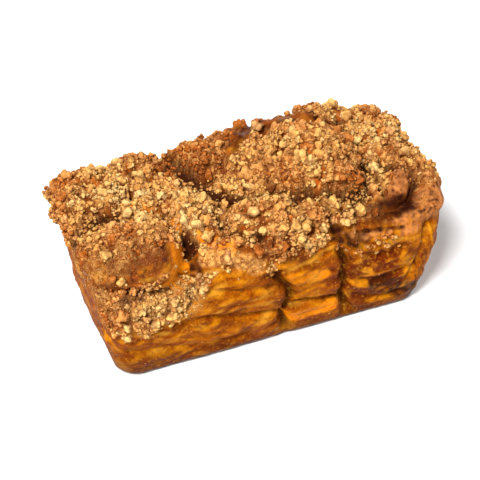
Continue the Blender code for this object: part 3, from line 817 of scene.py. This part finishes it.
def bed_colours(p, fields, sink, patch, toasted):
    """Crumble bed: sandy where it is piled, browned crust between, with painted shade in the gaps between
    its bumps and down in the creases.
    """
    fine_dome, grain = fields["fine_dome"], fields["grain"]
    # Lighter sand on the tops of the bumps; browned crust and painted shade in the gaps between them
    height = 0.16 + 1.9 * (fields["dome"] - 0.64) + 1.3 * (fine_dome - 0.64) + 0.5 * grain
    sand = paint(linear(BED_BROWN_AND_SHADE), (BED_TAN, height + 0.25 * spot_share(p, PALE_PATCHES)))
    bare = paint(
        linear(BARE_TOP),
        (BARE_ORANGE, 0.5 + 1.6 * patch),
        (TOAST_BROWN_AND_SHADE, 0.8 * toasted),
        # Painted shade in the gaps between the small domes of the bare bed, lighter sand on their tops
        (CREVICE_SHADE, 1.8 * (0.60 - fine_dome) - 1.0 * grain),
        (BED_TAN, 1.8 * (fine_dome - 0.84) + 1.6 * grain),
    )
    return paint(
        bare + (sand - bare) * fields["pile"][:, None],
        # Painted shade deep in the creases
        (CREVICE_SHADE, run_share(sink, DEEP_SHADE_RUN) * (1.0 - 0.5 * (fine_dome - 0.6))),
        # Painted shade round the knob
        (TOAST_BROWN_AND_SHADE, 0.45 * spot_share(p, SHADED)),
    )


def crust_colours(p, fields, sink):
    """Colour, roughness, sandiness and share of bare wall at each place of the crust."""
    cover, grain = fields["cover"], fields["grain"]
    patch = waves(p, PATCH_SIZE)
    fleck = FLECK_CONTRAST * waves(p, FLECK_SIZE)
    high = run_share(p[:, 2], HIGH_RUN)
    toasted, glazed, filling = spot_share(p, TOASTED), spot_share(p, GLAZED), spot_share(p, FILLING)
    dusted, powdered = spot_share(p, DUSTED), spot_share(p, POWDERED)

    dough = dough_colours(p, fields, sink, patch)
    dough = paint(dough, (TOAST_BROWN_AND_SHADE, np.maximum(0.35 * high, 0.9 * toasted)))
    tint = paint(
        mix(dough, bed_colours(p, fields, sink, patch, toasted), cover),
        (BLUSH_TAN, spot_share(p, BLUSHED) * (0.7 + 0.8 * fields["fine_layer"] + 0.5 * fleck)),
        (FLECK_BROWN, 0.8 * spot_share(p, FLECKED) * (0.15 + fleck)),
        (GLAZE_ORANGE, glazed * (0.75 + 0.8 * patch)),
        (DUST_TAN, 0.6 * dusted * (0.5 + 1.6 * grain)),
        (BED_TAN, 0.85 * powdered * (0.8 + 1.6 * grain)),
        (FILLING_BROWN, filling * (0.75 + 0.9 * waves(p, STAIN_SIZE))),
    )

    rough = 0.50 + 0.38 * cover - 0.16 * np.maximum(glazed, filling)
    sandy = cover * (0.15 + 0.85 * fields["pile"]) * np.exp(-((sink / SAND_SINK) ** 2)) * (1.0 - filling)
    sandy = np.maximum(sandy, np.maximum(0.5 * dusted, 0.9 * powdered))
    sandy = np.maximum(sandy, BARE_SPECKS * high * (1.0 - filling))
    wall = (1.0 - run_share(p[:, 2], WALL_END_RUN)) * (1.0 - cover) * (1.0 - 0.7 * filling)
    return tint, rough, sandy, wall


def store(mesh, name, value):
    """Keeps a number, a colour for the tint, or else a vector for each point of the mesh."""
    if value.ndim == 1:
        kind, key = "FLOAT", "value"
    elif name == "tint":
        kind, key = "FLOAT_COLOR", "color"
        value = np.concatenate([value, np.ones((len(value), 1))], axis=1)
    else:
        kind, key = "FLOAT_VECTOR", "vector"
    data = mesh.attributes.new(name, kind, "POINT").data
    data.foreach_set(key, value.astype(np.float32).ravel())


def add_object(name, data):
    """A new object in the scene."""
    made = bpy.data.objects.new(name, data)
    bpy.context.scene.collection.objects.link(made)
    return made


def mesh_piece(name, points, faces, material, slot, **values):
    """A shown piece of the loaf with its values at each point, standing for the solid."""
    mesh = bpy.data.meshes.new(name)
    mesh.from_pydata(points.tolist(), [], faces.tolist())
    for key, value in values.items():
        store(mesh, key, value)
    mesh.materials.append(material)
    mesh.shade_smooth()
    piece = add_object(name, mesh)
    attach(piece, "root")
    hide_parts("babka")
    return piece


def flatten_underside(mesh):
    """One face for all of the flat underside."""
    work = bmesh.new()
    work.from_mesh(mesh)
    flat = [face for face in work.faces if all(vert.co.z == 0.0 for vert in face.verts)]
    bmesh.ops.dissolve_faces(work, faces=flat, use_verts=True)
    work.to_mesh(mesh)
    work.free()


def sphere(detail):
    """Unit directions and triangles of an evenly divided ball."""
    work = bmesh.new()
    bmesh.ops.create_icosphere(work, subdivisions=detail, radius=1.0)
    directions = np.array([vert.co for vert in work.verts])
    triangles = np.array([[vert.index for vert in face.verts] for face in work.faces])
    work.free()
    return directions, triangles


def clump_shapes(rng, directions, balls):
    """How far crumbs reach in each direction: each is a few balls stuck together."""
    shapes = []
    for _ in range(SHAPES):
        reach = np.full(len(directions), CORE_BALL)
        for _ in range(balls):
            offset = rng.normal(size=3)
            offset *= rng.uniform(*BALL_OFFSET) / np.linalg.norm(offset)
            along = directions @ offset
            inside = rng.uniform(*BALL_RADIUS) ** 2 - offset @ offset + along**2
            hit = along + np.sqrt(np.maximum(inside, 0.0))
            reach = np.maximum(reach, np.where((inside > 0.0) & (along > 0.0), hit, 0.0))
        shapes.append(reach)
    return shapes


def turns(rng, count):
    """Random rotations."""
    w, x, y, z = rng.normal(size=(4, count))
    length = np.sqrt(w * w + x * x + y * y + z * z)
    w, x, y, z = w / length, x / length, y / length, z / length
    rows = [
        [1 - 2 * (y * y + z * z), 2 * (x * y - w * z), 2 * (x * z + w * y)],
        [2 * (x * y + w * z), 1 - 2 * (x * x + z * z), 2 * (y * z - w * x)],
        [2 * (x * z - w * y), 2 * (y * z + w * x), 1 - 2 * (x * x + y * y)],
    ]
    return np.array(rows).transpose(2, 0, 1)


def crumb_colours(rng, places):
    """One colour for each crumb: tan, more or less pale or toasted, and browner with painted shade round the
    knob.
    """
    count = len(places)
    shift = places - CENTRE_SHIFT
    pale = spot_share(shift, PALE_PATCHES)
    paler = rng.uniform(-0.6, 0.6, count) + 0.35 * pale
    toast_and_shade = rng.uniform(-0.4, 0.5, count) + 1.3 * waves(places, TOAST_SIZE)
    # Toasted patches, and painted shade round the knob
    toast_and_shade += 0.9 * spot_share(shift, TOASTED) + 0.5 * spot_share(shift, SHADED)
    dark = (rng.random(count) > BURNT_ABOVE) * 0.8 + 0.6 * spot_share(shift, FILLING)
    return paint(
        np.tile(linear(CRUMB_TAN), (count, 1)),
        (CRUMB_PALE, paler),
        (CRUMB_TOASTED_AND_SHADE, toast_and_shade - 0.7 * pale),
        (CRUMB_DARK_AND_SHADE, dark),
    )


def make_crumbs(name, rng, places, normals, radii, fineness, material):
    """Joined crumbs, one at each place, with painted shade low down where they meet the crust and in the
    hollows between their balls.
    """
    detail, balls = fineness
    directions, triangles = sphere(detail)
    shapes = clump_shapes(rng, directions, balls)
    rotations = turns(rng, len(places))
    stretches = rng.uniform(*LUMP_STRETCH, (len(places), 3))
    colours = crumb_colours(rng, places)
    points, tints = [], []
    for i, (place, radius) in enumerate(zip(places, radii)):
        reach = shapes[i % SHAPES]
        body = (directions * reach[:, None] * stretches[i] * radius) @ rotations[i].T
        points.append(place + body)
        # Painted light and shade: darker in the hollows between balls and low down towards the crust,
        # lighter on bulges and tops
        hollow = (reach - reach.min()) / (reach.max() - reach.min() + 0.001)
        height = body @ normals[i] / radius
        lit = CRUMB_LIT[0] + CRUMB_LIT[1] * hollow + CRUMB_LIT[2] * height
        bright = np.minimum(CRUMB_GAIN * colours[i], CRUMB_BRIGHTEST)
        tints.append(mix(linear(CRUMB_SHADE), bright, lit))
    offsets = np.arange(len(places)) * len(directions)
    faces = (triangles[None, :, :] + offsets[:, None, None]).reshape(-1, 3)
    return mesh_piece(name, np.concatenate(points), faces, material, "crumble", tint=np.concatenate(tints))


def scatter(rng, count, surface, weight):
    """Random places on a surface with their outward normals, more where the weight is higher."""
    points, quads = surface
    corners = points[quads]
    across = np.cross(corners[:, 2] - corners[:, 0], corners[:, 3] - corners[:, 1])
    area = np.linalg.norm(across, axis=1)
    share = area * weight[quads].mean(axis=1)
    picked = rng.choice(len(quads), count, p=share / share.sum())
    a, b = rng.random((2, count, 1))
    c = corners[picked]
    places = (1 - a) * (1 - b) * c[:, 0] + a * (1 - b) * c[:, 1] + a * b * c[:, 2] + (1 - a) * b * c[:, 3]
    return places, across[picked] / area[picked][:, None]


def falling(sizes, count, curve):
    """That many sizes, from the first of two to the last."""
    return sizes[0] + (sizes[1] - sizes[0]) * np.linspace(0.0, 1.0, count) ** curve


def spread_out(places, gap, taken, count):
    """Indices of places that keep their distance from those taken and from each other."""
    kept = []
    held = taken.copy()
    for i, place in enumerate(places):
        if len(kept) == count:
            break
        if np.linalg.norm(held - place, axis=1).min() > gap:
            kept.append(i)
            held = np.vstack([held, place])
    return kept


def set_inputs(tree, node, inputs):
    """Sets a shader node's inputs, or links them where they are outputs of others."""
    for key, value in inputs.items():
        if isinstance(value, bpy.types.NodeSocket):
            tree.links.new(value, node.inputs[key])
        else:
            node.inputs[key].default_value = value


def new_node(tree, kind, inputs, **settings):
    """A shader node of that kind with its inputs and settings."""
    made = tree.nodes.new("ShaderNode" + kind)
    for key, value in settings.items():
        setattr(made, key, value)
    set_inputs(tree, made, inputs)
    return made


def start_material(name):
    """A new material with its node tree and its surface shader."""
    material = bpy.data.materials.new(name)
    material.use_nodes = True
    tree = material.node_tree
    return material, tree, tree.nodes["Principled BSDF"]


def attribute(tree, name, output):
    """What the mesh stores under that name."""
    return new_node(tree, "Attribute", {}, attribute_name=name).outputs[output]


def fade(tree, value, low, high, to_low=0.0, to_high=1.0):
    """The value mapped from low..high to another span and kept inside it."""
    inputs = {"Value": value, "From Min": low, "From Max": high, "To Min": to_low, "To Max": to_high}
    return new_node(tree, "MapRange", inputs).outputs["Result"]


def combine(tree, operation, a, b):
    """Two numbers multiplied or added."""
    return new_node(tree, "Math", {0: a, 1: b}, operation=operation).outputs["Value"]


def noise_value(tree, where, settings):
    """Fine noise at that place."""
    inputs = dict(zip(("Scale", "Detail", "Roughness", "Distortion"), settings))
    return new_node(tree, "TexNoise", {"Vector": where, **inputs}).outputs["Fac"]


def cell_value(tree, where, scale):
    """Distance to the middle of the nearest of many small cells."""
    return new_node(tree, "TexVoronoi", {"Vector": where, "Scale": scale}).outputs["Distance"]


def mark(tree, tint, marks, noises, share=1.0):
    """The colour with fine marks over it, as strong as that share."""
    for noise_name, begin, full, most, colour in marks:
        strength = combine(tree, "MULTIPLY", fade(tree, noises[noise_name], begin, full, 0.0, most), share)
        inputs = {0: strength, 6: tint, 7: (*linear(colour), 1.0)}
        tint = new_node(tree, "Mix", inputs, data_type="RGBA").outputs[2]
    return tint


def make_crust_material():
    """Baked crust: streaks along the dough's layers on the walls, sandy crumble bed on top."""
    material, tree, shader = start_material("crust_looks")
    cover = attribute(tree, "sandy", "Fac")
    bare = attribute(tree, "wall", "Fac")
    where = new_node(tree, "TexCoord", {}).outputs["Object"]
    layers = {0: attribute(tree, "place", "Vector"), 1: STREAK_STRETCH}
    along = new_node(tree, "VectorMath", layers, operation="MULTIPLY").outputs[0]
    noises = {
        "streaks": noise_value(tree, along, STREAK_NOISE),
        "pores": noise_value(tree, where, PORE_NOISE),
        "cells": cell_value(tree, where, BED_CELLS),
        "sand": noise_value(tree, where, BED_NOISE),
    }
    tint = mark(tree, attribute(tree, "tint", "Color"), WALL_MARKS, noises, bare)
    ripple = new_node(tree, "Bump", {"Height": combine(tree, "MULTIPLY", noises["streaks"], noises["pores"]),
                                     "Strength": 0.60, "Distance": 0.0016})
    bumps = new_node(tree, "Bump", {"Height": combine(tree, "MULTIPLY", noises["cells"], cover),
                                    "Strength": 0.7, "Distance": 0.0007, "Normal": ripple.outputs["Normal"]},
                     invert=True)
    uneven = fade(tree, noises["pores"], 0.3, 0.7, -0.07, 0.09)
    set_inputs(tree, shader, {
        "Base Color": mark(tree, tint, BED_MARKS, noises, cover),
        "Roughness": combine(tree, "ADD", attribute(tree, "rough", "Fac"), uneven),
        "Normal": bumps.outputs["Normal"],
        "Specular IOR Level": CRUST_SHEEN,
        "Specular Tint": CRUST_SHEEN_TINT,
    })
    return material


def make_crumble_material():
    """Dry butter crumble: sandy, matt and speckled."""
    material, tree, shader = start_material("crumble_looks")
    where = new_node(tree, "TexCoord", {}).outputs["Object"]
    sand = noise_value(tree, where, CRUMB_NOISE)
    bump = new_node(tree, "Bump", {"Height": cell_value(tree, where, CRUMB_CELLS),
                                   "Strength": 0.9, "Distance": 0.0008}, invert=True)
    set_inputs(tree, shader, {
        "Base Color": mark(tree, attribute(tree, "tint", "Color"), CRUMB_MARKS, {"sand": sand}),
        "Roughness": fade(tree, sand, 0.3, 0.7, 0.78, 0.95),
        "Normal": bump.outputs["Normal"],
        "Specular IOR Level": CRUMBLE_SHEEN,
    })
    return material


def make_crust(material):
    """The crust in full detail. Gives its points and quads, where the points were before creases and relief,
    the crumble's cover and piles there, and how far each point sank."""
    lattice, quads = box_lattice(STEPS)
    points, heading, base, sink = trace(outer_point(lattice))
    fields = crust_fields(base, points)
    points = points + heading * crust_relief(fields)[:, None]
    points[base[:, 2] <= SURFACE_SNAP, 2] = 0.0
    points[:, 2] = np.maximum(points[:, 2], 0.0)
    tint, rough, sandy, wall = crust_colours(base, fields, sink)
    piece = mesh_piece("crust", points, quads, material, "crust", tint=tint, rough=rough, sandy=sandy,
                       wall=wall, place=fields["place"])
    flatten_underside(piece.data)
    return points, quads, base, fields["cover"], fields["pile"], sink


def make_crumble(crust, material):
    """Lumps, crumbs and grains of crumble, each kind joined into one piece."""
    points, quads, base, cover, pile, sink = crust
    rng = np.random.default_rng(CRUMB_SEED)
    surface = (points, quads)
    filled = 1.0 - FILLING_CLEARS * spot_share(base, FILLING)
    open_place = np.exp(-((sink / OPEN_SINK) ** 2))
    weight = cover * filled * (0.06 + 0.94 * pile) * open_place
    fine_weight = cover * filled * (0.24 + 0.76 * pile) * (0.65 + 0.35 * open_place)
    dusted = spot_share(base, DUSTED)
    powdered = spot_share(base, POWDERED)
    stray = spot_share(base, STRAY_CRUMBS)

    first_places, first_normals, first_radii = crumb_places()
    tries, normals = scatter(rng, MORE_LUMPS * TRIES_PER_LUMP, surface, weight)
    kept = spread_out(tries, MORE_LUMP_GAP, first_places, MORE_LUMPS)
    more_radii = np.linspace(*MORE_LUMP_RADIUS, len(kept))
    more_places = tries[kept] + normals[kept] * (MORE_LUMP_LIFT * more_radii)[:, None]
    make_crumbs("crumble_lumps", rng, np.concatenate([first_places, more_places]),
                np.concatenate([first_normals, normals[kept]]),
                np.concatenate([first_radii, more_radii]), LUMP_MESH, material)

    for name, count, sizes, share in CRUMB_KINDS:
        places, normals = scatter(rng, count, surface, fine_weight + share * dusted + 0.5 * stray)
        radii = falling(sizes, count, CRUMB_CURVE)
        lift = rng.uniform(*CRUMB_LIFT, count) * radii
        make_crumbs(name, rng, places + normals * lift[:, None], normals, radii, CRUMB_MESH, material)

    low = smooth_step(base[:, 2] / LOW_GRAIN_RISE) * (base[:, 1] < 0) * LOW_GRAINS
    grain_weight = 0.5 * fine_weight + 1.1 * np.maximum(dusted, powdered) + low
    places, normals = scatter(rng, GRAINS, surface, grain_weight)
    radii = falling(GRAIN_RADIUS, GRAINS, GRAIN_CURVE)
    lifted = places + normals * (GRAIN_LIFT * radii)[:, None]
    make_crumbs("crumble_grains", rng, lifted, normals, radii, GRAIN_MESH, material)


def aim(thing, azimuth, elevation, distance, target):
    """Puts a camera or light on that side of the target and turns it there."""
    turn, rise = math.radians(azimuth), math.radians(elevation)
    back = Vector((math.sin(turn) * math.cos(rise), -math.cos(turn) * math.cos(rise), math.sin(rise)))
    thing.location = Vector(target) + back * distance
    thing.rotation_euler = back.to_track_quat("Z", "Y").to_euler()


def make_camera():
    """A camera at the front left that looks down on the loaf."""
    data = bpy.data.cameras.new("camera")
    data.sensor_width = SENSOR_MM
    data.lens = FOCAL_PIXELS / FRAME_PIXELS * SENSOR_MM
    camera = add_object("camera", data)
    aim(camera, CAMERA_AZIMUTH, CAMERA_ELEVATION, CAMERA_DISTANCE, CAMERA_TARGET)
    bpy.context.scene.camera = camera


def make_lights():
    """Soft studio light from the front, with a weaker one behind."""
    for name, (azimuth, elevation, distance, side, power) in LIGHTS.items():
        data = bpy.data.lights.new(name, "AREA")
        data.size = side
        data.energy = power
        light = add_object(name, data)
        aim(light, azimuth, elevation, distance, CAMERA_TARGET)
    world = bpy.data.worlds.new("studio")
    world.use_nodes = True
    tree = world.node_tree
    set_inputs(tree, tree.nodes["Background"], {"Color": (1.0, 1.0, 1.0, 1.0), "Strength": AMBIENT})
    bpy.context.scene.world = world


def make_floor():
    """A plain pale floor just below the loaf."""
    half = FLOOR_SIDE / 2
    mesh = bpy.data.meshes.new("floor")
    corners = [(x, y, -FLOOR_DROP) for x, y in ((-half, -half), (half, -half), (half, half), (-half, half))]
    mesh.from_pydata(corners, [], [(0, 1, 2, 3)])
    material, tree, shader = start_material("floor_white")
    set_inputs(tree, shader, {"Base Color": FLOOR_GREY, "Roughness": FLOOR_ROUGHNESS,
                              "Specular IOR Level": FLOOR_SHEEN})
    mesh.materials.append(material)
    floor = add_object("floor", mesh)


make_camera()
make_lights()
make_floor()
make_crumble(make_crust(make_crust_material()), make_crumble_material())
bpy.context.scene.view_settings.view_transform = "Standard"
